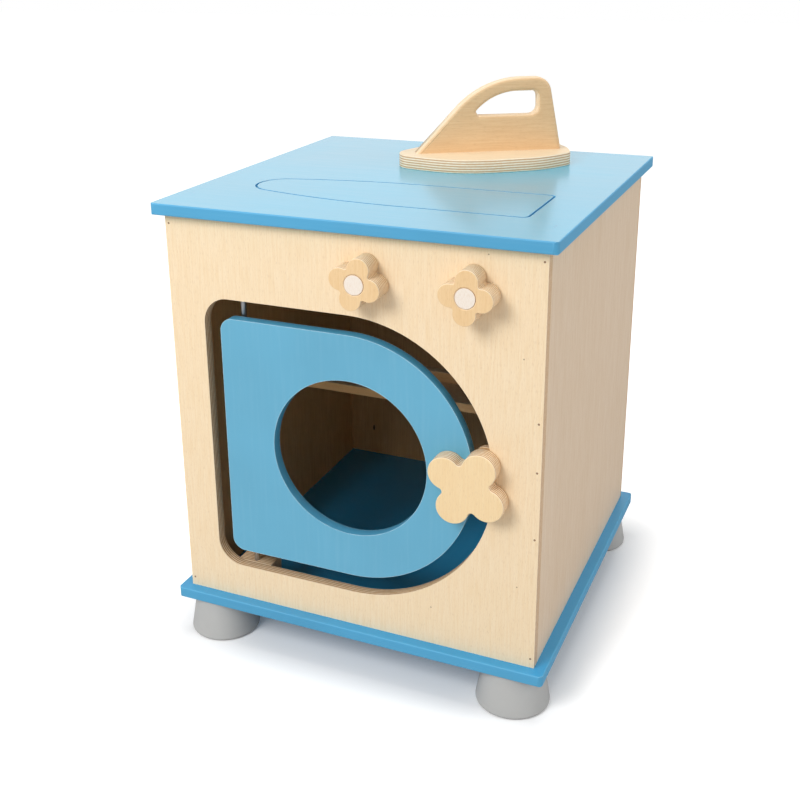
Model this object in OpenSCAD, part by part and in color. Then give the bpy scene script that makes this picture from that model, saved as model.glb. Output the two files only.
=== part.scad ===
// Toy front-loading washing machine made of plywood boards, with a round-windowed door on a
// steel rod, two clover dials, four round feet and a loose toy flat iron on its top.
// Origin: on the floor, under the middle of the toy's outline. -Y is the front, +Z is up.

/* [Cabinet] */
// Width of the cabinet, over its side panels
body_w = 400; // [385:1:430]
// Depth of the cabinet, from front panel to back panel
body_d = 396; // [370:1:440]
// Height of the cabinet between its base and its top
body_h = 431; // [415:1:450]
// Thickness of the front, top and base boards
board_t = 12; // [10:0.5:15]
// Thickness of the side panels
side_t = 18; // [15:0.5:20]
// Thickness of the back panel
back_t = 6; // [4:0.5:9]
// How far the top board stands out past the cabinet
top_over = 11; // [6:0.5:14]
// How far the base board stands out past the cabinet
base_over = 12; // [8:0.5:16]
// Corner radius of the top and base boards, seen from above
slab_corner = 6; // [4:0.5:16]
// Radius of the sanded edges of the top and base boards
slab_edge = 1.5; // [0.8:0.1:2.5]

/* [Front opening] */
// Height of the strip of panel below the opening
opening_low = 39.3; // [36:0.1:46]
// Height of the strip of panel above the opening
opening_over = 83.7; // [80:0.1:92]
// Width of the strip of panel left of the opening
opening_side = 39.3; // [30:0.1:46]
// Radius of the opening's two left corners
opening_corner = 28; // [18:0.5:36]

/* [Door] */
// Thickness of the door board
door_t = 12; // [10:0.5:12]
// How far the door stands in front of the front panel
door_proud = 0.4; // [0.3:0.1:1]
// Gap between the door's round edge and the opening
door_gap = 20.5; // [16:0.1:24]
// Gap between the door's hinge edge and the opening
door_side_gap = 18.7; // [14:0.1:22]
// Radius of the door's two left corners
door_corner = 14; // [8:0.5:20]
// Width of the door's rim round its round window
door_rim = 48.5; // [44:0.5:70]

/* [Hinge] */
// Diameter of the steel hinge rod
rod_d = 6; // [5:0.5:7]
// Distance of the rod's axis from the door's hinge edge
rod_in = 18; // [16:0.5:20]
// Distance of the rod's axis behind the front panel's back face
rod_back = 6; // [6:0.5:8]
// Width of the fixed blocks that hold the rod's ends
fixed_block_w = 40; // [30:1:44]
// Height of the fixed blocks
fixed_block_h = 25; // [20:1:30]
// Depth of the fixed blocks
fixed_block_d = 24; // [18:1:30]
// Depth of wood left under the rod's ends in the fixed blocks
rod_cover = 5; // [3:0.5:10]
// Width of the blocks on the back of the door
door_block_w = 34; // [28:1:36]
// Height of the blocks on the back of the door
door_block_h = 45; // [30:1:50]
// Depth of the blocks on the back of the door
door_block_d = 18; // [15:0.5:22]
// Distance of the rod's axis from the outer side of the door's blocks
door_block_edge = 15; // [10:0.5:17]
// Distance of the door's blocks from its upper and lower edge
door_block_inset = 8; // [6:0.5:20]

/* [Door handle and stop] */
// Thickness of the door handle
handle_t = 17.6; // [14:0.1:24]
// Distance of the handle's centre inside the door's round edge
handle_in = 2.4; // [0:0.1:8]
// Distance of each handle lobe from the handle's centre
handle_lobe_d = 25.2; // [24:0.1:27]
// Radius of each handle lobe
handle_lobe_r = 16.9; // [16:0.1:18.5]
// Radius of the notches between the handle lobes
handle_notch_r = 4; // [3:0.1:5]
// Turn of the handle's first lobe from the right
handle_turn = 58.8; // [45:0.1:70]
// Thickness of the door stop
stop_t = 6; // [4:0.5:9]
// Radius of the door stop's rounded end
stop_r = 11.3; // [9:0.1:14]
// How far the door stop's round end reaches behind the door
stop_lap = 1.6; // [1:0.1:5]
// Height of the door stop above the middle of the opening
stop_rise = 22.5; // [18:0.5:30]

/* [Dials] */
// Distance of the dials' middle below the top board
dial_drop = 44.4; // [40:0.1:50]
// Distance of the left dial right of the cabinet's centre
dial_left_x = 21; // [0:0.5:30]
// Distance between the two dials
dial_spacing = 109.7; // [95:0.1:120]
// Thickness of each dial
dial_t = 23.5; // [18:0.5:26]
// Gap between a dial and the front panel
dial_gap = 0.5; // [0.3:0.1:1]
// Distance of each dial lobe from the dial's centre
dial_lobe_d = 15.4; // [15:0.1:16]
// Radius of each dial lobe
dial_lobe_r = 11.15; // [11:0.05:12]
// Radius of the notches between the dial lobes
dial_notch_r = 2.5; // [2:0.1:3]
// Turn of the left dial's first lobe from the right
dial_left_turn = -16.1; // [-45:0.1:45]
// Turn of the right dial's first lobe from the right
dial_right_turn = -3.6; // [-45:0.1:45]
// Diameter of the wooden axle of a dial
axle_d = 20; // [14:0.5:21]
// Outer diameter of the collar that holds an axle behind the panel
collar_d = 36; // [32:0.5:44]
// Thickness of the collar
collar_t = 8; // [6:0.5:12]

/* [Shelf] */
// Height of the cross shelf's underside above the middle of the opening
shelf_rise = 2.7; // [-40:0.1:30]
// Distance of the shelf's front edge behind the cabinet's front face
shelf_front = 150; // [90:1:200]
// Depth of the cross shelf
shelf_d = 61; // [40:1:90]
// Thickness of the cross shelf
shelf_t = 10; // [9:0.5:15]
// Side of the square rail along the shelf's rear edge
rail_side = 12; // [8:0.5:16]

/* [Feet] */
// Height of the feet
foot_h = 45; // [35:0.5:60]
// Radius of a foot at its lower end, before its edge is rounded
foot_base_r = 39; // [33:0.5:42]
// Radius of a foot at its upper end
foot_top_r = 31; // [26:0.5:36]
// Radius of a foot's rounded lower edge
foot_edge = 3; // [2:0.5:12]
// Distance of a foot's centre from the cabinet's side face
foot_in_x = 27.5; // [25:0.5:40]
// Distance of a foot's centre from the cabinet's front or back face
foot_in_y = 22; // [20:0.5:40]

/* [Ironing board outline] */
// Distance of the outline's square end from the cabinet's right face
board_end = 38.5; // [30:0.5:50]
// Length of the outline
board_l = 316; // [260:1:330]
// Width of the outline
board_wide = 102; // [80:1:110]
// Distance of the outline's middle behind the cabinet's front face
board_y = 113.5; // [90:0.5:130]
// Width of the routed groove
groove_w = 2.6; // [1:0.1:3]
// Depth of the routed groove
groove_depth = 2.4; // [0.8:0.1:3]

/* [Iron] */
// Thickness of the iron's sole
sole_t = 15; // [12:0.5:18]
// Thickness of the iron's upright body
iron_t = 18; // [15:0.5:24]
// Height of the iron's body above its sole
iron_h = 82; // [78:0.5:90]
// Reach of the iron's body from the iron's middle towards the nose
iron_nose = 80.5; // [76:0.5:84]
// Reach of the iron's body from the iron's middle towards the heel
iron_heel = 87.5; // [84:0.5:90]
// Thickness of the iron's grip, over its handle hole
grip_t = 15; // [12:0.5:18]
// Height of the handle hole
grip_hole_h = 26.5; // [24:0.5:30]
// Distance of the iron's middle right of the cabinet's centre
iron_x = 38.2; // [20:0.1:60]
// Distance of the iron's middle behind the cabinet's front face
iron_y = 298.7; // [250:0.1:310]
// Turn of the iron's heel towards the back
iron_turn = 31; // [0:0.1:45]

/* [Fastenings] */
// Diameter of the small nails
nail_d = 1.8; // [1.4:0.1:2.5]
// Diameter of the nail heads
nail_head_d = 2.2; // [2.1:0.1:4]
// Length of the nails
nail_l = 32; // [25:1:40]
// Diameter of the screws
screw_d = 3.5; // [3:0.1:4]
// Running clearance round a turning rod or axle, on each side
run_clear = 0.08; // [0.03:0.01:0.1]
// Bite of a glued or driven fit, on each side
press_bite = 0.02; // [0.01:0.01:0.05]

/* [Hidden] */
$fn = 96;
arc_steps = 14;

// The dials reach furthest to the front, and the base board or the feet furthest to the back.
knob_reach = dial_t + dial_gap;
foot_lean = atan((foot_base_r - foot_top_r) / foot_h);
foot_r = foot_base_r - foot_edge / tan(45 - foot_lean / 2) + foot_edge;
rear_reach = max(base_over, foot_r - foot_in_y);
// The origin lies under the middle of the toy's outline, so the front face is set from it.
front_y = -(body_d + rear_reach - knob_reach) / 2;
panel_back_y = front_y + board_t;
back_y = front_y + body_d;
inner_w = body_w - 2 * side_t;
opening_r = (body_h - opening_low - opening_over) / 2;
opening_z = opening_low + opening_r;
opening_left = body_w / 2 - opening_side;
door_r = opening_r - door_gap;
door_left = opening_left - door_side_gap;
window_r = door_r - door_rim;
rod_left = door_left - rod_in;
handle_x = door_r - handle_in;
dial_z = body_h - dial_drop;
shelf_z = opening_z + shelf_rise;
base_z = foot_h;
body_z = foot_h + board_t;
top_z = body_z + body_h;
deck_z = top_z + board_t;
open_z = body_z + opening_z;
door_y = front_y - door_proud;
door_back_y = door_y + door_t;
rod_x = -rod_left;
rod_y = panel_back_y + rod_back;
lower_block_z = open_z - opening_r - fixed_block_h;
upper_block_z = open_z + opening_r;
door_block_x = rod_x - door_block_edge;
upper_door_block_z = open_z + door_r - door_block_inset - door_block_h;
lower_door_block_z = open_z - door_r + door_block_inset;
rod_z = lower_block_z + rod_cover;
rod_l = upper_block_z + fixed_block_h - rod_cover - rod_z;
dial_h = body_z + dial_z;
dial_x = [dial_left_x, dial_left_x + dial_spacing];
handle_back_y = door_y;
foot_x = body_w / 2 - foot_in_x;
foot_front_y = front_y + foot_in_y;
foot_back_y = back_y - foot_in_y;
side_mid_x = (body_w - side_t) / 2;

// Heights of the nails above the base board, on the right and left edge of the front panel.
nail_end = 10;
nail_in = 4;
nail_head_h = 1;
nails_right = [nail_end, opening_z - 49, opening_z + 22, opening_z + 72, body_h - nail_end];
nails_left = [nail_end, body_h - nail_end];
// Places of the paired brads in the top board, over the side panels.
brad_in = 7;
brad_inset = 42;
brad_pair = 6;

screw_head_d = 2 * screw_d;
screw_head_h = 0.55 * screw_d;
foot_web = 14;
foot_screw_l = foot_web + board_t - 4;
foot_recess_d = 14;
foot_screw_clear = 0.4;
fixed_block_screw_l = fixed_block_d + board_t - 2;
door_block_screw_l = door_block_d + door_t - 3;
handle_screw_l = door_t + handle_t - 5;
fixed_screw_span = 25;
door_screw_span = 22;
door_screw_in = 8;
axle_chamfer = 0.8;
collar_gap = 0.5;

// The ironing board's round end: radius of its two side arcs, and where they start.
side_arc_r = 600;
nose_l = 179;
board_corner = 8;

// The iron's sole, from its middle: corners before rounding, and their radii.
sole_nose_x = 113;
sole_nose_r = 26;
sole_shoulder_x = 40;
sole_shoulder_y = 62;
sole_shoulder_r = 90;
sole_hip_x = 55;
sole_hip_y = 53;
sole_hip_r = 100;
sole_heel_x = 93;
sole_heel_y = 30;
sole_heel_r = 18;
sole_end_x = 98;
sole_end_r = 60;

// The iron's body: how far its heel and nose lean in over its height, and its radii.
heel_lean = 16.4;
nose_lean = 77;
iron_back_r = 101;
iron_heel_r = 18;
// Its handle hole, from the iron's middle.
hole_floor_x = 9.5;
hole_tip_x = 12.5;
hole_tip_rise = 5;
hole_heel_x = 59.5;
hole_roof_x = 8.5;
hole_roof_r = 64;
hole_heel_r = 9;
hole_top_r = 7;
hole_tip_r = 2;

iron_dowel_d = 8;
iron_dowel_l = 26;
iron_dowel_span = 70;
iron_dowel_shift = 5;
iron_dowel_up = 4;
eps = 0.01;

wood = [0.93, 0.84, 0.69];
side_wood = [0.88, 0.78, 0.63];
pale_wood = [0.95, 0.90, 0.80];
blue = [0.45, 0.71, 0.83];
sky = [0.55, 0.78, 0.90];
grey = [0.78, 0.78, 0.79];
steel = [0.70, 0.73, 0.76];

// Points of a rounded outline: each corner is [x, y, radius].
function unit(v) = v / norm(v);
function corner_arc(p, before, after, r) =
    let (u = unit(before - p), v = unit(after - p), half = acos(u * v) / 2)
    let (c = p + unit(u + v) * r / sin(half), t = r / tan(half))
    let (a = p + u * t - c, b = p + v * t - c)
    let (start = atan2(a.y, a.x), turn = (atan2(b.y, b.x) - start + 540) % 360 - 180)
    [for (k = [0 : arc_steps]) c + r * [cos(start + turn * k / arc_steps),
        sin(start + turn * k / arc_steps)]];
function xy(p) = [p.x, p.y];
function rounded(pts) = [for (i = [0 : len(pts) - 1])
    let (n = len(pts), p = pts[i])
    each (p[2] > 0
        ? corner_arc(xy(p), xy(pts[(i + n - 1) % n]), xy(pts[(i + 1) % n]), p[2])
        : [xy(p)])];

// A drawn shape stood upright: its y becomes height, and it is thick towards the back.
module upright(y, z, t) {
    translate([0, y + t, z])
        rotate([90, 0, 0])
            linear_extrude(t)
                children();
}

// A cylinder along Y.
module rod_along_y(x, y, z, d, l) {
    translate([x, y, z])
        rotate([-90, 0, 0])
            cylinder(d = d, h = l);
}

// A drawn rectangle with round corners, centred in x and y.
module round_rectangle(w, h, r) {
    square([w - 2 * r, h], center = true);
    square([w, h - 2 * r], center = true);
    for (x = [-1, 1], y = [-1, 1])
        translate([x * (w / 2 - r), y * (h / 2 - r)])
            circle(r = r);
}

// A board with rounded corners and sanded edges, centred in x and y, standing on z = 0.
module soft_slab(w, d) {
    translate([0, 0, board_t / 2])
        intersection() {
            linear_extrude(board_t, center = true)
                round_rectangle(w, d, slab_corner);
            rotate([90, 0, 0])
                linear_extrude(d, center = true)
                    round_rectangle(w, board_t, slab_edge);
            rotate([90, 0, 90])
                linear_extrude(w, center = true)
                    round_rectangle(d, board_t, slab_edge);
        }
}

// A round outline squared out to the left, as the door and its opening have.
module squared_round(r, left, corner) {
    circle(r = r);
    translate([-left + corner, -r])
        square([left - corner, 2 * r]);
    translate([-left, -r + corner])
        square([left, 2 * (r - corner)]);
    for (z = [-1, 1])
        translate([-left + corner, z * (r - corner)])
            circle(r = corner);
}

// A clover of four round lobes with rounded notches between them.
module clover(lobe_d, lobe_r, notch_r) {
    reach = lobe_r + notch_r;
    notch_d = (sqrt(2) * lobe_d + sqrt(4 * reach * reach - 2 * lobe_d * lobe_d)) / 2;
    difference() {
        union() {
            polygon([for (k = [0 : 7])
                (k % 2 == 0 ? lobe_d : notch_d) * [cos(45 * k), sin(45 * k)]]);
            for (k = [0 : 3])
                rotate(90 * k)
                    translate([lobe_d, 0])
                        circle(r = lobe_r);
        }
        for (k = [0 : 3])
            rotate(90 * k + 45)
                translate([notch_d, 0])
                    circle(r = notch_r);
    }
}

// A countersunk screw along +Z, its head's face on z = 0.
module screw(l) {
    difference() {
        union() {
            cylinder(d1 = screw_head_d, d2 = screw_d, h = screw_head_h);
            cylinder(d = screw_d, h = l);
        }
        for (turn = [0, 90])
            rotate(turn)
                translate([-0.3 * screw_head_d, -0.4, -1])
                    cube([0.6 * screw_head_d, 0.8, 1.8]);
    }
}

// The hole that a screw along +Z cuts: tight on its thread, flush round its head.
module screw_hole(l) {
    translate([0, 0, -eps])
        cylinder(d1 = screw_head_d, d2 = screw_d - 2 * press_bite, h = screw_head_h + eps);
    cylinder(d = screw_d - 2 * press_bite, h = l);
}

// A small nail along +Z, its head's face on z = 0.
module nail() {
    cylinder(d = nail_head_d, h = nail_head_h);
    cylinder(d = nail_d, h = nail_l);
}

module nail_hole() {
    translate([0, 0, -eps])
        cylinder(d = nail_head_d, h = nail_head_h + eps);
    cylinder(d = nail_d - 2 * press_bite, h = nail_l);
}

// Places of the nails of the front panel, in the middle of each side panel's edge.
module at_panel_nails() {
    for (z = nails_right)
        translate([body_w / 2 - nail_in, front_y, body_z + z])
            rotate([-90, 0, 0])
                children();
    for (z = nails_left)
        translate([-body_w / 2 + nail_in, front_y, body_z + z])
            rotate([-90, 0, 0])
                children();
}

// Places of the paired brads of the top board, over the side panels.
module at_top_brads() {
    for (side = [-1, 1], y = [front_y + brad_inset, back_y - brad_inset], pair = [-1, 1])
        translate([side * (body_w / 2 - brad_in), y + pair * brad_pair / 2, deck_z])
            rotate([180, 0, 0])
                children();
}

module at_foot(side, y) {
    translate([side * foot_x, y, 0])
        children();
}

module at_foot_screws() {
    for (side = [-1, 1], y = [foot_front_y, foot_back_y])
        translate([side * foot_x, y, foot_h - foot_web])
            children();
}

// Places of the screws that hold the fixed hinge blocks, driven from their backs.
module at_hinge_block_screws(z) {
    for (side = [-1, 1])
        translate([rod_x + side * fixed_screw_span / 2, panel_back_y + fixed_block_d,
                z + fixed_block_h / 2])
            rotate([90, 0, 0])
                children();
}

// Places of the screws that hold the door's blocks, driven from their backs.
module at_door_block_screws(z) {
    for (up = [-1, 1])
        translate([door_block_x + door_block_w - door_screw_in, door_back_y + door_block_d,
                z + door_block_h / 2 + up * door_screw_span / 2])
            rotate([90, 0, 0])
                children();
}

// Places of the two screws that hold the handle, driven from the door's back.
module at_handle_screws() {
    for (turn = [handle_turn + 90, handle_turn + 180])
        translate([handle_x + handle_lobe_d * cos(turn), door_back_y,
                open_z + handle_lobe_d * sin(turn)])
            rotate([90, 0, 0])
                children();
}

// The base board, with its four foot screw holes.
module base_panel() {
    color(sky)
        difference() {
            translate([0, (front_y + back_y) / 2, base_z])
                soft_slab(body_w + 2 * base_over, body_d + 2 * base_over);
            at_foot_screws()
                screw_hole(foot_screw_l);
        }
}

// The front board: door opening, two dial holes and the nail holes.
module front_panel() {
    color(wood)
        difference() {
            translate([-body_w / 2, front_y, body_z])
                cube([body_w, board_t, body_h]);
            upright(front_y - 1, open_z, board_t + 2)
                squared_round(opening_r, opening_left, opening_corner);
            for (x = dial_x)
                rod_along_y(x, front_y - 1, dial_h, axle_d + 2 * run_clear, board_t + 2);
            at_panel_nails()
                nail_hole();
            for (z = [lower_block_z, upper_block_z])
                at_hinge_block_screws(z)
                    screw_hole(fixed_block_screw_l);
        }
}

module side_panel(side) {
    x = side < 0 ? -body_w / 2 : body_w / 2 - side_t;
    color(side_wood)
        difference() {
            translate([x, panel_back_y, body_z])
                cube([side_t, body_d - board_t - back_t, body_h]);
            at_panel_nails()
                nail_hole();
            at_top_brads()
                nail_hole();
        }
}

module left_side_panel() {
    side_panel(-1);
}

module right_side_panel() {
    side_panel(1);
}

// The thin back board, over the side panels' rear edges.
module back_panel() {
    color(wood)
        translate([-body_w / 2, back_y - back_t, body_z])
            cube([body_w, back_t, body_h]);
}

// The shape of the ironing board, drawn e inside its outer line: a long rectangle whose left
// end narrows along two arcs into a round nose, which touches both arcs from inside.
module ironing_board(e) {
    half = board_wide / 2;
    drop = side_arc_r - half;
    shoulder = board_l - nose_l;
    nose_r = (nose_l * nose_l + drop * drop - side_arc_r * side_arc_r)
        / (2 * (nose_l - side_arc_r));
    nose_x = -board_l + nose_r;
    touch_x = -shoulder + (nose_x + shoulder) * side_arc_r / (side_arc_r - nose_r);
    translate([nose_x, 0])
        circle(r = nose_r - e);
    intersection() {
        translate([-shoulder, -drop])
            circle(r = side_arc_r - e, $fn = 720);
        translate([-shoulder, drop])
            circle(r = side_arc_r - e, $fn = 720);
        translate([touch_x, -half])
            square([-shoulder - touch_x + eps, 2 * half]);
    }
    polygon(rounded([[-shoulder, e - half, 0], [-e, e - half, board_corner - e],
        [-e, half - e, board_corner - e], [-shoulder, half - e, 0]]));
}

// The top board, with the outline of an ironing board routed into it.
module top_panel() {
    color(sky)
        difference() {
            translate([0, (front_y + back_y) / 2, top_z])
                soft_slab(body_w + 2 * top_over, body_d + 2 * top_over);
            translate([body_w / 2 - board_end, front_y + board_y, deck_z - groove_depth])
                linear_extrude(groove_depth + 1)
                    difference() {
                        ironing_board(0);
                        ironing_board(groove_w);
                    }
            at_top_brads()
                nail_hole();
        }
}

module cross_shelf() {
    color(wood)
        translate([-inner_w / 2, front_y + shelf_front, body_z + shelf_z])
            cube([inner_w, shelf_d, shelf_t]);
}

module shelf_rail() {
    color(wood)
        translate([-inner_w / 2, front_y + shelf_front + shelf_d - rail_side,
                body_z + shelf_z + shelf_t])
            cube([inner_w, rail_side, rail_side]);
}

// A wooden block on the back of the front panel, bored for an end of the rod.
module fixed_block(z, bore_z) {
    color(wood)
        difference() {
            translate([rod_x - fixed_block_w / 2, panel_back_y, z])
                cube([fixed_block_w, fixed_block_d, fixed_block_h]);
            translate([rod_x, rod_y, bore_z])
                cylinder(d = rod_d - 2 * press_bite, h = fixed_block_h);
            at_hinge_block_screws(z)
                screw_hole(fixed_block_screw_l);
        }
}

module upper_hinge_block() {
    fixed_block(upper_block_z, upper_block_z - rod_cover);
}

module lower_hinge_block() {
    fixed_block(lower_block_z, lower_block_z + rod_cover);
}

module hinge_rod() {
    color(steel)
        translate([rod_x, rod_y, rod_z])
            cylinder(d = rod_d, h = rod_l);
}

// The small wooden bar that the door closes against.
module door_stop() {
    edge = sqrt(door_r * door_r - stop_rise * stop_rise);
    end_x = edge - stop_lap + stop_r;
    color(wood)
        upright(panel_back_y, open_z + stop_rise, stop_t) {
            translate([end_x, 0])
                circle(r = stop_r);
            translate([end_x, -stop_r])
                square([inner_w / 2 - 2 - end_x, 2 * stop_r]);
        }
}

// A turned foot, wider towards the floor, with a deep recess for its screw.
module foot(side, y) {
    color(grey)
        at_foot(side, y)
            difference() {
                rotate_extrude()
                    polygon(rounded([[0, 0, 0], [foot_base_r, 0, foot_edge],
                        [foot_top_r, foot_h, 1], [0, foot_h, 0]]));
                translate([0, 0, -1])
                    cylinder(d = foot_recess_d, h = foot_h - foot_web + 1);
                cylinder(d = screw_d + 2 * foot_screw_clear, h = foot_h + 1);
                translate([0, 0, foot_h - foot_web - eps])
                    cylinder(d1 = screw_head_d + 2 * foot_screw_clear,
                        d2 = screw_d + 2 * foot_screw_clear, h = screw_head_h);
            }
}

module front_left_foot() {
    foot(-1, foot_front_y);
}

module front_right_foot() {
    foot(1, foot_front_y);
}

module back_left_foot() {
    foot(-1, foot_back_y);
}

module back_right_foot() {
    foot(1, foot_back_y);
}

module foot_screws() {
    color(steel)
        at_foot_screws()
            screw(foot_screw_l);
}

module panel_nails() {
    color(steel)
        at_panel_nails()
            nail();
}

module top_brads() {
    color(steel)
        at_top_brads()
            nail();
}

module hinge_block_screws() {
    color(steel)
        for (z = [lower_block_z, upper_block_z])
            at_hinge_block_screws(z)
                screw(fixed_block_screw_l);
}

// The door: a squared round board with a round window.
module door_panel() {
    color(blue)
        difference() {
            upright(door_y, open_z, door_t)
                squared_round(door_r, door_left, door_corner);
            rod_along_y(0, door_y - 1, open_z, 2 * window_r, door_t + 2);
            for (z = [lower_door_block_z, upper_door_block_z])
                at_door_block_screws(z)
                    screw_hole(door_block_screw_l);
            at_handle_screws()
                screw_hole(handle_screw_l);
        }
}

// A wooden block on the back of the door, turning on the rod.
module door_block(z) {
    color(wood)
        difference() {
            translate([door_block_x, door_back_y, z])
                cube([door_block_w, door_block_d, door_block_h]);
            translate([rod_x, rod_y, z - 1])
                cylinder(d = rod_d + 2 * run_clear, h = door_block_h + 2);
            at_door_block_screws(z)
                screw_hole(door_block_screw_l);
        }
}

module upper_door_block() {
    door_block(upper_door_block_z);
}

module lower_door_block() {
    door_block(lower_door_block_z);
}

module door_block_screws() {
    color(steel)
        for (z = [lower_door_block_z, upper_door_block_z])
            at_door_block_screws(z)
                screw(door_block_screw_l);
}

module door_handle() {
    color(wood)
        difference() {
            translate([handle_x, 0, 0])
                upright(handle_back_y - handle_t, open_z, handle_t)
                    rotate(handle_turn)
                        clover(handle_lobe_d, handle_lobe_r, handle_notch_r);
            at_handle_screws()
                screw_hole(handle_screw_l);
        }
}

module handle_screws() {
    color(steel)
        at_handle_screws()
            screw(handle_screw_l);
}

// A dial: a thick clover glued on its axle, with a small chamfer round the axle's end.
module dial(x, turn) {
    color(wood)
        difference() {
            translate([x, 0, 0])
                upright(front_y - knob_reach, dial_h, dial_t)
                    rotate(turn)
                        clover(dial_lobe_d, dial_lobe_r, dial_notch_r);
            rod_along_y(x, front_y - knob_reach - 1, dial_h, axle_d - 2 * press_bite, dial_t + 2);
            translate([x, front_y - knob_reach - eps, dial_h])
                rotate([-90, 0, 0])
                    cylinder(d1 = axle_d + 2 * axle_chamfer, d2 = axle_d - 2 * press_bite,
                        h = axle_chamfer);
        }
}

// The axle runs from the dial's face through the front panel and its collar.
module axle(x) {
    color(pale_wood)
        rod_along_y(x, front_y - knob_reach, dial_h, axle_d,
            knob_reach + board_t + collar_gap + collar_t);
}

module collar(x) {
    color(wood)
        difference() {
            rod_along_y(x, panel_back_y + collar_gap, dial_h, collar_d, collar_t);
            rod_along_y(x, panel_back_y, dial_h, axle_d - 2 * press_bite, collar_t + 2);
        }
}

module left_dial() {
    dial(dial_x[0], dial_left_turn);
}

module left_axle() {
    axle(dial_x[0]);
}

module left_collar() {
    collar(dial_x[0]);
}

module right_dial() {
    dial(dial_x[1], dial_right_turn);
}

module right_axle() {
    axle(dial_x[1]);
}

module right_collar() {
    collar(dial_x[1]);
}

// The iron's own frame: its nose points to -X and its sole stands on z = 0.
module iron_place() {
    translate([iron_x, front_y + iron_y, deck_z])
        rotate(iron_turn)
            children();
}

module at_iron_dowels() {
    for (side = [-1, 1])
        translate([side * iron_dowel_span / 2 + iron_dowel_shift, 0, iron_dowel_up])
            children();
}

// The boat-shaped sole of the iron.
module iron_sole() {
    color(wood)
        iron_place()
            difference() {
                linear_extrude(sole_t)
                    polygon(rounded([[-sole_nose_x, 0, sole_nose_r],
                        [-sole_shoulder_x, -sole_shoulder_y, sole_shoulder_r],
                        [sole_hip_x, -sole_hip_y, sole_hip_r],
                        [sole_heel_x, -sole_heel_y, sole_heel_r],
                        [sole_end_x, 0, sole_end_r],
                        [sole_heel_x, sole_heel_y, sole_heel_r],
                        [sole_hip_x, sole_hip_y, sole_hip_r],
                        [-sole_shoulder_x, sole_shoulder_y, sole_shoulder_r]]));
                at_iron_dowels()
                    cylinder(d = iron_dowel_d - 2 * press_bite, h = iron_dowel_l);
            }
}

// The upright body of the iron, with its sloping nose and its handle hole.
module iron_body() {
    roof_z = iron_h - grip_t;
    floor_z = roof_z - grip_hole_h;
    color(wood)
        iron_place()
            difference() {
                translate([0, -iron_t / 2, sole_t])
                    upright(0, 0, iron_t)
                        difference() {
                            polygon(rounded([[-iron_nose, 0, 0], [iron_heel, 0, 0],
                                [iron_heel - heel_lean, iron_h, iron_heel_r],
                                [-iron_nose + nose_lean, iron_h, iron_back_r]]));
                            polygon(rounded([[-hole_floor_x, floor_z, hole_tip_r],
                                [hole_heel_x, floor_z, hole_heel_r],
                                [hole_heel_x - 1, roof_z, hole_top_r],
                                [hole_roof_x, roof_z, hole_roof_r],
                                [-hole_tip_x, floor_z + hole_tip_rise, hole_tip_r]]));
                        }
                at_iron_dowels()
                    cylinder(d = iron_dowel_d - 2 * press_bite, h = iron_dowel_l);
            }
}

// Two dowels that pin the iron's body to its sole.
module iron_dowels() {
    color(pale_wood)
        iron_place()
            at_iron_dowels()
                cylinder(d = iron_dowel_d, h = iron_dowel_l);
}

base_panel();
front_panel();
left_side_panel();
right_side_panel();
back_panel();
top_panel();
cross_shelf();
shelf_rail();
upper_hinge_block();
lower_hinge_block();
hinge_rod();
door_stop();
front_left_foot();
front_right_foot();
back_left_foot();
back_right_foot();
foot_screws();
panel_nails();
top_brads();
hinge_block_screws();
door_panel();
upper_door_block();
lower_door_block();
door_block_screws();
door_handle();
handle_screws();
left_dial();
left_axle();
left_collar();
right_dial();
right_axle();
right_collar();
iron_sole();
iron_body();
iron_dowels();
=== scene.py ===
"""Toy washing machine: a birch plywood box, blue boards, a door, two dials, a loose iron."""

import math

import bmesh
import bpy
from mathutils import Matrix, Vector


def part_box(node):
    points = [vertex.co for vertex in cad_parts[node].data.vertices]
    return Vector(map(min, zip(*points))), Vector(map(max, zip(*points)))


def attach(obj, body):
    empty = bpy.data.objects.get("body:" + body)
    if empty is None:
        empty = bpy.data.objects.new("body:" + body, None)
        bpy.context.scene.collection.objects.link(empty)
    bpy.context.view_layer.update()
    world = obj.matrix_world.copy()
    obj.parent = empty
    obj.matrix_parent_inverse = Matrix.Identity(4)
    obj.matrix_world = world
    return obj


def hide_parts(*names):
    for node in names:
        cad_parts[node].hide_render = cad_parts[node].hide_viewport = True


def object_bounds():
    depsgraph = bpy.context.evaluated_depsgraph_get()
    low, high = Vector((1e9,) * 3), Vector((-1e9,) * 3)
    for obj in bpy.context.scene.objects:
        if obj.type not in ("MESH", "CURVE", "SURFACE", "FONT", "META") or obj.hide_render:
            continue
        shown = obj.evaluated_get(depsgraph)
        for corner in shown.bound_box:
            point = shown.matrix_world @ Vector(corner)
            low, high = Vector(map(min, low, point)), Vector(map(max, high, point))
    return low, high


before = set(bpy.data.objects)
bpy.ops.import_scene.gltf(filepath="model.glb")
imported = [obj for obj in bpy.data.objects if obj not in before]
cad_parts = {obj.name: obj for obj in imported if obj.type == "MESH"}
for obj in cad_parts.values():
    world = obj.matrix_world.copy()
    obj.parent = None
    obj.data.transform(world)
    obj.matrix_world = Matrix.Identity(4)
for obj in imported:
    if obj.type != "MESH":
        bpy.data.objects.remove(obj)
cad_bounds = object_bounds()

# Camera
# The camera stands in front of the toy, to its right and a little above it,
# and looks down at the door. Its lens is shifted, as a product photographer's is.
front_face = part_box("front_panel")[0].y
camera_turn, camera_tip, camera_roll = (math.radians(a) for a in (24.36, 19.16, -0.84))
camera_back = Vector((
    math.sin(camera_turn) * math.cos(camera_tip),
    -math.cos(camera_turn) * math.cos(camera_tip),
    math.sin(camera_tip),
))
level_right = (-camera_back).cross(Vector((0, 0, 1))).normalized()
level_up = level_right.cross(-camera_back)
camera_right = math.cos(camera_roll) * level_right + math.sin(camera_roll) * level_up
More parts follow.
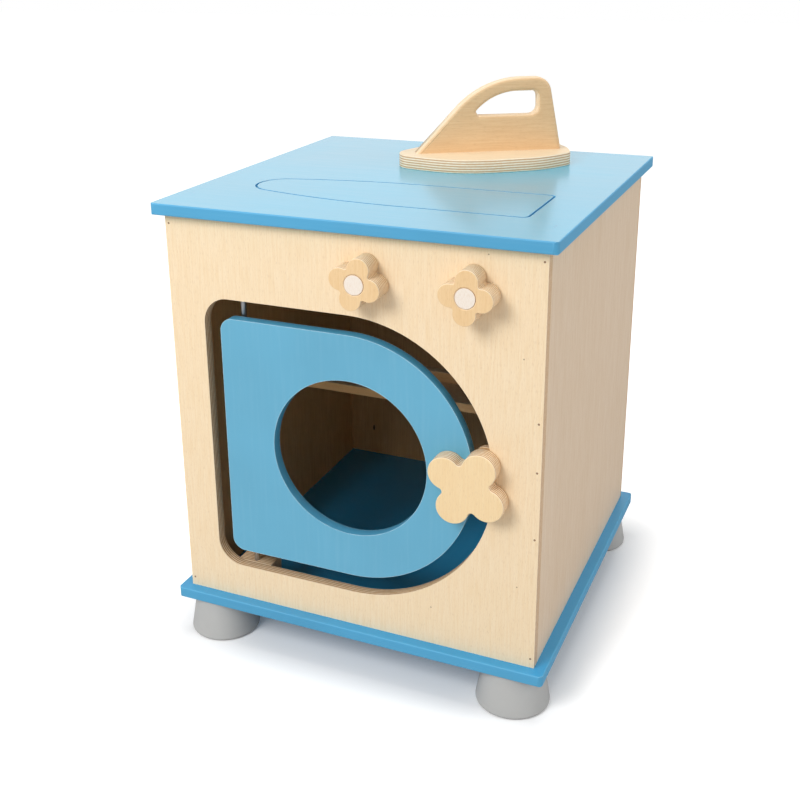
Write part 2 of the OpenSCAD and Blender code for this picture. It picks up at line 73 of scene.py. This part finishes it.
camera_up = math.cos(camera_roll) * level_up - math.sin(camera_roll) * level_right
lens = bpy.data.cameras.new("camera")
lens.sensor_width = 36
lens.lens = 50.553
lens.shift_x = 0.03125
lens.shift_y = -0.0965
lens.clip_end = 60
camera_place = (0.45011, front_face - 0.9240, 0.75295)
camera_axes = Matrix((camera_right, camera_up, camera_back)).transposed().to_4x4()
camera = bpy.data.objects.new("camera", lens)
camera.matrix_world = Matrix.Translation(camera_place) @ camera_axes
bpy.context.scene.collection.objects.link(camera)
bpy.context.scene.camera = camera


# Base board
# A 12 mm board under the whole box, with rounded corners, sprayed blue on every
# side: satin on its faces, flatter on its edges, thin and pale along its arrises,
# where the paler tone is partly wear and partly a painted highlight.
def tone(red, green, blue):
    """A paint chip's numbers, 0 to 255, as the shader's colour."""
    return tuple(
        c / 12.92 if c <= 0.04045 else ((c + 0.055) / 1.055) ** 2.4
        for c in (red / 255, green / 255, blue / 255)
    ) + (1.0,)


def step_of(tree, kind, wires=None, **settings):
    """One node of a finish, with its settings and whatever feeds it."""
    made = tree.nodes.new("ShaderNode" + kind)
    for setting, value in settings.items():
        setattr(made, setting, value)
    for socket, value in (wires or {}).items():
        if isinstance(value, bpy.types.NodeSocket):
            tree.links.new(value, made.inputs[socket])
        else:
            made.inputs[socket].default_value = value
    return made


def blended(tree, share, first, second):
    """Two colours mixed by a share."""
    mix = step_of(tree, "Mix", data_type="RGBA")
    for socket, value in ((0, share), (6, first), (7, second)):
        if isinstance(value, bpy.types.NodeSocket):
            tree.links.new(value, mix.inputs[socket])
        else:
            mix.inputs[socket].default_value = value
    return mix.outputs[2]


def sum_of(tree, first, second, how="ADD"):
    """A small sum, such as one height on top of another."""
    return step_of(tree, "Math", {0: first, 1: second}, operation=how).outputs[0]


def scaled(tree, value, factor):
    """A value times a plain number or another value."""
    return sum_of(tree, value, factor, "MULTIPLY")


def shaded(colour, factor):
    """A colour made darker or lighter as a whole."""
    return tuple(min(1, c * factor) for c in colour[:3]) + (1,)


def spread(tree, value, low, high, to_low=0.0, to_high=1.0):
    """Part of a noise's range stretched over another."""
    return step_of(
        tree, "MapRange",
        {"Value": value, "From Min": low, "From Max": high, "To Min": to_low, "To Max": to_high},
        clamp=True,
    ).outputs[0]


def grained(tree, along, across, detail=3.0, wander=0.0):
    """Noise drawn out along a board's X, with so many marks to the metre each way."""
    place = step_of(tree, "TexCoord").outputs["Object"]
    laid = step_of(
        tree, "Mapping", {"Vector": place, "Scale": (along, across, across)}
    ).outputs[0]
    return step_of(
        tree, "TexNoise", {"Vector": laid, "Scale": 1.0, "Detail": detail, "Distortion": wander}
    ).outputs["Fac"]


# How far the surface turns at an arris, as a cosine, where the paler edge starts and is full:
# partly wear, partly a painted highlight.
hardly_turned, well_turned = 0.99, 0.86


def worn_and_lit_edge(tree, reach):
    """1 along the arrises of a piece, broken up by fine noise, and 0 on its faces: where wear and
    a painted highlight make the finish paler.
    """
    eased = step_of(tree, "Bevel", {"Radius": reach}, samples=6).outputs[0]
    flat = step_of(tree, "NewGeometry").outputs["Normal"]
    turned = step_of(
        tree, "VectorMath", {0: eased, 1: flat}, operation="DOT_PRODUCT"
    ).outputs["Value"]
    rubbed_and_lit = spread(tree, turned, hardly_turned, well_turned)
    return scaled(tree, rubbed_and_lit, spread(tree, grained(tree, 90, 90), 0.1, 0.55))


def new_finish(name, **shader):
    """An empty material and its shader, with the sockets that don't vary."""
    finish = bpy.data.materials.new(name)
    finish.use_nodes = True
    tree = finish.node_tree
    tree.nodes.clear()
    surface = step_of(tree, "BsdfPrincipled")
    for socket, value in shader.items():
        surface.inputs[socket.replace("_", " ")].default_value = value
    step_of(tree, "OutputMaterial", {"Surface": surface.outputs[0]})
    return finish, tree, surface


def bumped(tree, surface, height, strength, depth=0.0002):
    """Fine relief on a surface, at most as deep as depth, in metres."""
    relief = step_of(tree, "Bump", {"Height": height, "Strength": strength, "Distance": depth})
    tree.links.new(relief.outputs[0], surface.inputs["Normal"])


def sprayed_paint(name, colour, worn_and_lit_tone, gloss, dull, rubbed_and_lit=0.6, **shader):
    """Sprayed paint on a wooden board: soft clouds, a trace of grain, fine orange peel, and a pale
    tone along the arrises that is partly wear and partly a painted highlight.
    """
    finish, tree, surface = new_finish(name, **shader)
    clouds = grained(tree, 7, 7, 3)
    grain = grained(tree, 12, 240, 4, 0.2)
    peel = grained(tree, 700, 700, 2)
    body = blended(tree, spread(tree, clouds, 0.3, 0.7), shaded(colour, 0.9), colour)
    body = blended(tree, spread(tree, grain, 0.5, 0.8, 0, 0.05), body, worn_and_lit_tone)
    # Arrises take the pale tone: partly wear, partly a painted highlight.
    body = blended(tree, scaled(tree, worn_and_lit_edge(tree, 0.0014), rubbed_and_lit), body, worn_and_lit_tone)
    tree.links.new(body, surface.inputs["Base Color"])
    sheen = spread(tree, sum_of(tree, clouds, grain), 0.7, 1.3, gloss, dull)
    tree.links.new(sheen, surface.inputs["Roughness"])
    bumped(tree, surface, sum_of(tree, scaled(tree, grain, 0.4), scaled(tree, peel, 0.5)), 0.1)
    return finish


# Points this near are one, faces this flat are one, and sharper turns are arrises.
same_place = 2e-6
flat_within = math.radians(0.5)
crisp_angle = math.radians(35)
arris_angle = math.radians(40)
# How nearly a facet looks along a board's own Z, as a cosine, to count as its face.
one_face, either_face, quite_flat = 0.9, 0.97, 0.9995


def on_the_edges(normal):
    """A board's narrow edges, and not its two faces."""
    return abs(normal.z) < either_face


def on_the_low_face(normal):
    """Only the face that looks against the board's own Z."""
    return normal.z < -one_face


def on_the_high_face(normal):
    """Only the face that looks along the board's own Z."""
    return normal.z > one_face


def cut_piece(node, name, body, finish, grain=(0, 0, 1), through=(0, 1, 0), face=None,
              ease=0.0008, laid=(0, 0), rim=None, rim_on=on_the_edges, soft=None):
    """The node's solid as its maker's piece, its arrises eased.

    Its own X runs along the grain and its Z through the board. Where a rim finish is given,
    the faces that rim_on picks have it. Where soft is given, it says which share of the
    easing each arris gets.
    """
    shape = bmesh.new()
    shape.from_mesh(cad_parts[node].data)
    bmesh.ops.remove_doubles(shape, verts=shape.verts, dist=same_place)
    bmesh.ops.dissolve_limit(
        shape, angle_limit=flat_within, verts=shape.verts, edges=shape.edges,
        use_dissolve_boundaries=False,
    )
    grain, through = Vector(grain).normalized(), Vector(through).normalized()
    across = through.cross(grain)
    face = Vector(face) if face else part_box(node)[0]
    turned = Matrix((grain, across, through)).transposed().to_4x4()
    bench = Matrix.Translation(face - laid[0] * grain - laid[1] * across) @ turned
    shape.transform(bench.inverted())
    if soft:
        weight = shape.edges.layers.float.new("bevel_weight_edge")
        for edge in shape.edges:
            if edge.calc_face_angle(0) > arris_angle:
                middle = bench @ ((edge.verts[0].co + edge.verts[1].co) / 2)
                edge[weight] = soft(middle)
    for facet in shape.faces:
        facet.smooth = True
    if not ease:
        for edge in shape.edges:
            edge.smooth = edge.calc_face_angle(0) < crisp_angle
    mesh = bpy.data.meshes.new(name)
    shape.to_mesh(mesh)
    shape.free()
    piece = bpy.data.objects.new(name, mesh)
    bpy.context.scene.collection.objects.link(piece)
    piece.matrix_world = bench
    if ease:
        eased = piece.modifiers.new("eased", "BEVEL")
        eased.width = ease
        eased.segments = 5 if soft else 3
        eased.limit_method = "WEIGHT" if soft else "ANGLE"
        eased.angle_limit = arris_angle
        eased.harden_normals = True
        eased.use_clamp_overlap = not soft
    else:
        piece.modifiers.new("even", "WEIGHTED_NORMAL").keep_sharp = True
    seen = bpy.context.evaluated_depsgraph_get()
    piece.data = bpy.data.meshes.new_from_object(piece.evaluated_get(seen))
    piece.modifiers.clear()
    piece.data.name = name
    leans = [corner.vector.copy() for corner in piece.data.corner_normals]
    for facet in piece.data.polygons:
        if abs(facet.normal.z) > quite_flat:
            for corner in facet.loop_indices:
                leans[corner] = facet.normal.copy()
    piece.data.normals_split_custom_set(leans)
    piece.data.materials.clear()
    piece.data.materials.append(finish)
    if rim:
        piece.data.materials.append(rim)
        for facet in piece.data.polygons:
            facet.material_index = 1 if rim_on(facet.normal) else 0
    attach(piece, body)
    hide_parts(node)


def dress(node, finish):
    """A solid that is right as it stands gets its finish."""
    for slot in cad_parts[node].material_slots:
        slot.material = finish


base_face = sprayed_paint(
    "base_blue_face", tone(40, 158, 214), tone(150, 216, 240), 0.36, 0.46,
    Coat_Weight=0.5, Coat_Roughness=0.3, Specular_IOR_Level=0.45,
)
sky_face = sprayed_paint(
    "sky_blue_face", tone(50, 181, 219), tone(134, 214, 238), 0.3, 0.4,
    Coat_Weight=1.0, Coat_Roughness=0.18, Specular_IOR_Level=0.55,
)
sky_rim = sprayed_paint(
    "sky_blue_rim", tone(84, 170, 214), tone(168, 222, 246), 0.46, 0.56,
    Coat_Weight=0.0, Specular_IOR_Level=0.4,
)
cut_piece("base_panel", "base_board", "cabinet", base_face, ease=0, rim=sky_rim,
          grain=(1, 0, 0), through=(0, 0, 1), laid=(0.3, 0.8))


# Front panel
# 12 mm birch plywood, its face veneer upright, with the big squared-round
# opening and two dial holes cut by router. Edges show the plies, eased by sanding.
ply = 0.00139
pin_radius, pin_blur = 0.0005, 0.0004
knot_squash = (0.7, 1.9)


def away_from(tree, along, across, squash=(1, 1)):
    """How far a spot lies from one place on a board's face, in metres before the squash."""
    centred = step_of(tree, "Mapping", {
        "Vector": step_of(tree, "TexCoord").outputs["Object"],
        "Location": (-along * squash[0], -across * squash[1], 0), "Scale": (*squash, 0),
    }).outputs[0]
    return step_of(tree, "VectorMath", {0: centred}, operation="LENGTH").outputs["Value"]


def birch_plywood(name, pale, warm, figured=0.3, fleck=0.5, knots=(), pins=(),
                  long_ply=(tone(250, 226, 192), tone(240, 208, 166)),
                  end_ply=(tone(176, 126, 82), tone(202, 156, 110))):
    """Birch plywood under satin lacquer, its face grain along the board's own X."""
    finish, tree, surface = new_finish(
        name, Coat_Weight=0.1, Coat_Roughness=0.3, Specular_IOR_Level=0.4
    )
    place = step_of(tree, "TexCoord")
    through = step_of(tree, "SeparateXYZ", {0: place.outputs["Object"]}).outputs["Z"]
    facing = step_of(tree, "SeparateXYZ", {0: place.outputs["Normal"]}).outputs["Z"]
    on_edge = spread(tree, scaled(tree, facing, facing), 0.6, 0.35)

    figure = grained(tree, 2.6, 21, 4, 0.5)
    fibre = grained(tree, 30, 520, 4, 0.1)
    pores = spread(tree, grained(tree, 190, 1500, 1), 0.58, 0.7)
    face = blended(tree, spread(tree, figure, 0.3, 0.7, 0, figured), pale, warm)
    face = blended(tree, spread(tree, fibre, 0.36, 0.7, 0, fleck), face, warm)
    if figured > 0.5:
        rings = step_of(tree, "Math", {0: scaled(tree, figure, 58.0)}, operation="SINE").outputs[0]
        face = blended(tree, spread(tree, rings, 0.3, 1.0, 0, 0.2 * figured), face, warm)
    face = blended(tree, scaled(tree, pores, 0.3 * fleck), face, tone(176, 128, 84))
    for along, across, size in knots:
        away = sum_of(tree, away_from(tree, along, across, knot_squash),
                      scaled(tree, fibre, 0.4 * size))
        dark = spread(tree, away, 1.25 * size, 0.8 * size, 0, 0.9)
        face = blended(tree, dark, face, tone(58, 34, 20))
    for along, across in pins:
        away = away_from(tree, along, across)
        filled = spread(tree, away, pin_radius + pin_blur, pin_radius, 0, 0.7)
        face = blended(tree, filled, face, tone(120, 84, 52))

    waver = spread(tree, grained(tree, 60, 60, 2), 0.3, 0.7, -0.58, -0.42)
    layer = sum_of(tree, sum_of(tree, scaled(tree, through, 1 / ply), waver), 1.0, "PINGPONG")
    crossed = spread(tree, layer, 0.4, 0.62)
    speckle = grained(tree, 1500, 1500, 2)
    end_grain = blended(tree, spread(tree, speckle, 0.35, 0.7), *end_ply)
    long_grain = blended(tree, spread(tree, grained(tree, 240, 240, 3), 0.35, 0.7), *long_ply)
    edge = blended(tree, crossed, long_grain, end_grain)
    wood = blended(tree, on_edge, face, edge)
    # Arrises paler: partly sanded, partly a painted highlight along them.
    rubbed_and_lit = scaled(tree, worn_and_lit_edge(tree, 0.0012), 0.6)
    wood = blended(tree, rubbed_and_lit, wood, tone(255, 240, 214))
    tree.links.new(wood, surface.inputs["Base Color"])

    sheen = sum_of(tree, spread(tree, fibre, 0.3, 0.7, 0.42, 0.54), scaled(tree, on_edge, 0.12))
    tree.links.new(sheen, surface.inputs["Roughness"])
    face_relief = sum_of(tree, scaled(tree, fibre, 0.5), scaled(tree, pores, -0.6))
    edge_relief = sum_of(tree, scaled(tree, crossed, -0.5), scaled(tree, speckle, 0.4))
    relief = step_of(tree, "Mix", {0: on_edge, 2: face_relief, 3: edge_relief}, data_type="FLOAT")
    bumped(tree, surface, relief.outputs[0], 0.3)
    return finish


front_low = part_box("front_panel")[0]
front_laid = (0.31, 0.12)
pin_marks = [
    (z - front_low.z + front_laid[0], x - front_low.x + front_laid[1])
    for x, z in ((0.1443, 0.4798), (0.1799, 0.3843), (0.1799, 0.1454), (0.0899, 0.0999))
]
front_birch = birch_plywood(
    "front_birch", tone(253, 230, 195), tone(243, 212, 166), 0.12, 0.55, pins=pin_marks
)
cut_piece("front_panel", "front_board", "cabinet", front_birch, laid=front_laid)


# Side panels
# Two 18 mm plywood boards between base and top, behind the front's edges. Their
# veneer stands upright: a little greyer than the front's outside, warmer inside.
side_birch = birch_plywood("side_birch", tone(240, 216, 188), tone(224, 194, 158), 0.3, 0.5)
side_inside = birch_plywood("side_inside_birch", tone(240, 190, 130), tone(216, 160, 98), 0.3, 0.6)
for side, inner_face, where in (
    ("left", on_the_high_face, (0.9, 0.4)), ("right", on_the_low_face, (1.7, 1.3)),
):
    cut_piece(side + "_side_panel", side + "_side_board", "cabinet", side_birch,
              through=(1, 0, 0), laid=where, rim=side_inside, rim_on=inner_face)


# Back panel
# 6 mm plywood nailed over the back edges of the sides, its veneer upright. Its
# inner face is warmer than the outer one and shows one small dark knot.
back_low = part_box("back_panel")[0]
back_laid = (2.2, 0.7)
knot_x, knot_z, knot_size = -0.1485, 0.0955, 0.0032
back_birch = birch_plywood(
    "back_birch", tone(236, 190, 134), tone(214, 160, 100), 0.55, 0.7,
    knots=[(knot_z - back_low.z + back_laid[0], knot_x - back_low.x + back_laid[1], knot_size)],
)
cut_piece("back_panel", "back_board", "cabinet", side_birch, ease=0.0005,
          laid=back_laid, rim=back_birch, rim_on=on_the_low_face)


# Top board
# A 12 mm board like the base, over the whole box, in a brighter and glossier
# blue. The outline of an ironing board is routed into it and painted with it.
cut_piece("top_panel", "top_board", "cabinet", sky_face, ease=0, rim=sky_rim,
          grain=(1, 0, 0), through=(0, 0, 1), laid=(1.9, 0.2))


# Shelf and rail
# Two strips of plywood across the inside, from side to side, their grain
# lengthwise. The rail stands on the back edge of the shelf.
inner_birch = birch_plywood("inner_birch", tone(240, 196, 140), tone(220, 166, 106), 0.6, 0.7)
# The shelf's birch is paler and more orange than the rail's: painted light, for the light that
# reaches its front edge through the opening.
lit_shelf_birch = birch_plywood("lit_shelf_birch", tone(255, 214, 152), tone(244, 182, 116), 0.55, 0.5)
cut_piece("cross_shelf", "cross_strip", "cabinet", lit_shelf_birch,
          grain=(1, 0, 0), laid=(0.2, 3.1))
cut_piece("shelf_rail", "shelf_strip", "cabinet", inner_birch,
          grain=(1, 0, 0), laid=(1.4, 2.6))


# Hinge blocks and door stop
# Small blocks sawn from plywood, screwed to the back of the front panel: two
# hold the rod's ends, and a round-ended bar beside the opening stops the door.
for which in ("lower", "upper"):
    cut_piece(which + "_hinge_block", which + "_rod_block", "cabinet", inner_birch,
              grain=(1, 0, 0), laid=(0.5, 1.9))
cut_piece("door_stop", "door_stop_bar", "cabinet", inner_birch,
          grain=(1, 0, 0), laid=(2.4, 0.3), ease=0.0006)


# Hinge rod and screws
# A 6 mm bright steel rod, drawn and polished along its length, and
# zinc-plated countersunk wood screws with plain slots.
def drawn_steel(name, colour, lengthwise, smooth):
    """Steel with fine lines along one direction, a little handled."""
    finish, tree, surface = new_finish(name, Metallic=1.0, Anisotropic=0.4)
    lines = grained(tree, *lengthwise, 3)
    smudge = grained(tree, 60, 60, 3)
    handled = sum_of(tree, lines, smudge)
    body = blended(tree, spread(tree, handled, 0.8, 1.3), colour, shaded(colour, 0.72))
    tree.links.new(body, surface.inputs["Base Color"])
    sheen = spread(tree, handled, 0.7, 1.3, smooth, smooth + 0.16)
    tree.links.new(sheen, surface.inputs["Roughness"])
    bumped(tree, surface, lines, 0.12, depth=0.0001)
    return finish


rod_steel = drawn_steel("drawn_rod_steel", tone(176, 178, 180), (2600, 40), 0.24)
screw_zinc = drawn_steel("zinc_screw_steel", tone(196, 196, 190), (900, 900), 0.3)
dress("hinge_rod", rod_steel)
for screws in ("hinge_block_screws", "door_block_screws", "handle_screws", "foot_screws"):
    dress(screws, screw_zinc)


# Feet
# Four moulded cones of light grey plastic, screwed up into the base from
# their hollow undersides. The mould left them satin, with a fine even texture.
def moulded_plastic(name, colour):
    """Satin plastic with a fine spark-eroded texture and a faint bloom."""
    finish, tree, surface = new_finish(
        name, Specular_IOR_Level=0.5, Coat_Weight=0.5, Coat_Roughness=0.22
    )
    bloom = grained(tree, 26, 26, 3, 0.3)
    texture = grained(tree, 1500, 1500, 2)
    body = blended(tree, spread(tree, bloom, 0.35, 0.7), colour, shaded(colour, 0.93))
    # Arrises a little lighter: partly scuffs, partly a painted highlight.
    scuffed_and_lit = scaled(tree, worn_and_lit_edge(tree, 0.0015), 0.5)
    body = blended(tree, scuffed_and_lit, body, shaded(colour, 1.12))
    tree.links.new(body, surface.inputs["Base Color"])
    sheen = spread(tree, sum_of(tree, bloom, texture), 0.7, 1.3, 0.34, 0.46)
    tree.links.new(sheen, surface.inputs["Roughness"])
    bumped(tree, surface, texture, 0.22)
    return finish


grey_plastic = moulded_plastic("grey_foot_plastic", tone(190, 190, 188))
for corner in ("front_left", "front_right", "back_left", "back_right"):
    dress(corner + "_foot", grey_plastic)


# Nails
# Panel nails through the front into the sides, under brown stopping, and brads
# through the top, under its paint. The front's finer pins are marks in its finish.
nail_brown = moulded_plastic("filled_nail_brown", tone(150, 112, 78))
brad_blue = sprayed_paint(
    "painted_brad", tone(58, 132, 178), tone(120, 170, 200), 0.4, 0.5, Coat_Weight=0.1,
)
dress("panel_nails", nail_brown)
dress("top_brads", brad_blue)


# Door
# A 12 mm board with a round window, sprayed a lighter blue on every side,
# its corners on the rod's side rounded and its free side a half circle.
# Its arrises take the pale tone in full: a painted highlight along them, with some wear.
door_face = sprayed_paint(
    "door_blue_face", tone(104, 180, 212), tone(214, 242, 250), 0.36, 0.46, rubbed_and_lit=1.0,
    Coat_Weight=0.15, Coat_Roughness=0.3,
)
door_rim = sprayed_paint(
    "door_blue_rim", tone(84, 168, 206), tone(214, 242, 250), 0.44, 0.54, rubbed_and_lit=1.0,
    Coat_Weight=0.1, Coat_Roughness=0.35,
)
cut_piece("door_panel", "door_board", "door", door_face, rim=door_rim,
          ease=0.0013, laid=(0.6, 2.2))
for which in ("lower", "upper"):
    cut_piece(which + "_door_block", which + "_turning_block", "door", inner_birch,
              laid=(1.1, 0.6))


# Door handle
# A clover of four round lobes, 18 mm plywood, screwed on from behind the door.
# It laps over the front panel, so that the door can't swing inwards.
pale_plies = (tone(255, 240, 214), tone(250, 226, 190))
clover_birch = birch_plywood(
    "clover_birch", tone(254, 226, 180), tone(244, 208, 152), 0.35, 0.45,
    long_ply=pale_plies, end_ply=(tone(196, 148, 98), tone(216, 170, 120)),
)
cut_piece("door_handle", "clover_handle", "door", clover_birch,
          laid=(0.15, 0.45), ease=0.0009)


# Dials
# Two smaller clovers of thick plywood, each glued to a 20 mm dowel that turns
# in the front panel and is kept in by a glued ring behind it.
def dowel_wood(name, end_tone, side_tone):
    """A turned dowel: pale end grain with fine rays on its ends, streaked sides."""
    finish, tree, surface = new_finish(name, Coat_Weight=0.1, Coat_Roughness=0.3)
    normal = step_of(tree, "TexCoord").outputs["Normal"]
    facing = step_of(tree, "SeparateXYZ", {0: normal}).outputs["Z"]
    at_end = spread(tree, scaled(tree, facing, facing), 0.6, 0.9)
    vessels = spread(tree, grained(tree, 2300, 2300, 2), 0.5, 0.7)
    rays = grained(tree, 260, 1500, 3, 0.2)
    end = blended(tree, scaled(tree, vessels, 0.35), end_tone, side_tone)
    end = blended(tree, spread(tree, rays, 0.45, 0.75, 0, 0.3), end, side_tone)
    streaks = spread(tree, grained(tree, 900, 900, 3), 0.35, 0.7)
    side = blended(tree, streaks, side_tone, tone(196, 150, 104))
    tree.links.new(blended(tree, at_end, side, end), surface.inputs["Base Color"])
    tree.links.new(spread(tree, rays, 0.3, 0.7, 0.48, 0.62), surface.inputs["Roughness"])
    bumped(tree, surface, scaled(tree, vessels, -0.5), 0.3)
    return finish


dial_birch = birch_plywood(
    "dial_birch", tone(247, 214, 166), tone(232, 190, 134), 0.4, 0.45,
    long_ply=pale_plies, end_ply=(tone(204, 158, 108), tone(224, 180, 130)),
)
dowel_beech = dowel_wood("dowel_beech", tone(249, 238, 226), tone(222, 190, 152))
for which, where in (("left", (0.4, 0.2)), ("right", (0.7, 0.9))):
    rides = which + "_dial_turner"
    for turned, piece, slot, finish, ease in (
        ("_dial", "_clover_dial", "birch_ply", dial_birch, 0.0007),
        ("_axle", "_dowel_axle", "dowel", dowel_beech, 0.0006),
        ("_collar", "_ring_collar", "birch_ply", inner_birch, 0.0006),
    ):
        cut_piece(which + turned, which + piece, rides, finish, laid=where, ease=ease)


# Iron
# A toy flat-iron, loose on the top: a boat-shaped plywood sole under an upright
# plate with a hand hole and well rounded arrises, held by two hidden dowels.
iron_turn = math.radians(31)
iron_along = Vector((math.cos(iron_turn), math.sin(iron_turn), 0))
iron_aside = Vector((0, 0, 1)).cross(iron_along)
iron_place = Vector((0.0382, 0.10458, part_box("iron_sole")[0].z))
iron_half = 0.009
iron_birch = birch_plywood(
    "iron_birch", tone(234, 199, 153), tone(214, 172, 125), 0.5, 0.6,
    long_ply=pale_plies, end_ply=(tone(240, 206, 164), tone(246, 216, 178)),
)
sole_birch = birch_plywood(
    "sole_birch", tone(245, 226, 194), tone(234, 208, 168), 0.3, 0.4,
    long_ply=pale_plies, end_ply=(tone(200, 148, 104), tone(222, 176, 132)),
)
cut_piece("iron_sole", "iron_sole_plate", "iron", sole_birch,
          grain=iron_along, through=(0, 0, 1), face=iron_place, ease=0.0009)
sole_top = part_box("iron_body")[0].z
left_sharp, rounded_after = 0.0005, 0.006


def above_the_sole(spot):
    """How far an arris of the plate is rounded: not at all on the sole, and fully above it."""
    return min(1.0, max(0.0, (spot.z - sole_top - left_sharp) / rounded_after))


cut_piece("iron_body", "iron_handle_plate", "iron", iron_birch,
          grain=iron_along, through=iron_aside, face=iron_place - iron_half * iron_aside,
          ease=0.004, laid=(0.5, 0.5), soft=above_the_sole)
dress("iron_dowels", dowel_beech)


# Studio
# A pale floor and an even white room, both white to the camera; the floor's white is partly a
# painted glow, which fades out near the toy. A large soft lamp stands high on the front left,
# another hangs overhead, and a third fills the right.
def seen_share(tree):
    """1 where the camera, a reflection or a clear material looks, else 0."""
    path = step_of(tree, "LightPath").outputs
    shown = sum_of(tree, path["Is Camera Ray"], path["Is Glossy Ray"], "MAXIMUM")
    return sum_of(tree, shown, path["Is Transmission Ray"], "MAXIMUM")


room = bpy.data.worlds.new("white_room")
bpy.context.scene.world = room
room.use_nodes = True
room.node_tree.nodes.clear()
brightness = spread(room.node_tree, seen_share(room.node_tree), 0, 1, 0.5, 1.0)
glow = step_of(room.node_tree, "Background", {"Color": (1, 1, 1, 1), "Strength": brightness})
step_of(room.node_tree, "OutputWorld", {"Surface": glow.outputs[0]})

floor_mesh = bpy.data.meshes.new("studio_floor")
floor_reach = 9
floor_corners = [
    (x * floor_reach, y * floor_reach, 0) for x, y in ((-1, -1), (1, -1), (1, 1), (-1, 1))
]
floor_mesh.from_pydata(floor_corners, [], [(0, 1, 2, 3)])
floor = bpy.data.objects.new("studio_floor", floor_mesh)
bpy.context.scene.collection.objects.link(floor)
floor_gap = 0.0002
floor.location.z = cad_bounds[0].z - floor_gap
floor_white, tree, floor_surface = new_finish(
    "studio_floor_white", Roughness=0.8, Specular_IOR_Level=0.1, Emission_Color=(1, 1, 1, 1)
)
path = step_of(tree, "LightPath").outputs
to_camera = sum_of(tree, path["Is Camera Ray"], path["Is Transmission Ray"], "MAXIMUM")
darker, paler, white = ((level, level, level, 1) for level in (0.53, 0.55, 0.96))
floor_grey = blended(tree, grained(tree, 1.5, 1.5, 2), darker, paler)
tree.links.new(blended(tree, to_camera, floor_grey, white), floor_surface.inputs["Base Color"])
# The floor glows for the camera, and a little for reflections: a painted light, weak beside the
# toy and full a few centimetres away, so that the toy's shadow shows only close to it.
half_toy = (0.2, 0.2, 0)
spot = step_of(tree, "TexCoord").outputs["Object"]
from_middle = step_of(tree, "VectorMath", {0: spot}, operation="ABSOLUTE").outputs[0]
outside = step_of(
    tree, "VectorMath", {0: from_middle, 1: half_toy}, operation="SUBTRACT"
).outputs[0]
beyond = step_of(tree, "VectorMath", {0: outside, 1: (0, 0, 0)}, operation="MAXIMUM").outputs[0]
lit = step_of(tree, "MapRange", {
    "Value": step_of(tree, "VectorMath", {0: beyond}, operation="LENGTH").outputs["Value"],
    "From Min": -0.02, "From Max": 0.09, "To Min": 0.02, "To Max": 0.5,
}, clamp=True, interpolation_type="SMOOTHSTEP").outputs[0]
shown = sum_of(tree, to_camera, scaled(tree, path["Is Glossy Ray"], 0.2), "MAXIMUM")
tree.links.new(scaled(tree, lit, shown), floor_surface.inputs["Emission Strength"])
floor_mesh.materials.append(floor_white)


toy_middle = Vector((0, front_face, 0.3))


def soft_lamp(name, way, far, size, level):
    """A square soft lamp that looks at the toy's front. Level 1 would light white fully."""
    light = bpy.data.lights.new(name, "AREA")
    light.shape = "SQUARE"
    light.size = size
    light.energy = level * math.pi ** 2 * far ** 2
    lamp = bpy.data.objects.new(name, light)
    way = Vector(way).normalized()
    lamp.location = toy_middle + far * way
    lamp.rotation_euler = way.to_track_quat("Z", "Y").to_euler()
    bpy.context.scene.collection.objects.link(lamp)


soft_lamp("key_lamp", (-0.42, -1.0, 0.82), 2.5, 1.1, 0.62)
soft_lamp("overhead_lamp", (0.0, 0.15, 1.0), 2.4, 1.4, 0.22)
soft_lamp("side_lamp", (1.0, 0.1, 0.35), 2.6, 1.2, 0.2)
bpy.context.scene.view_settings.view_transform = "Standard"
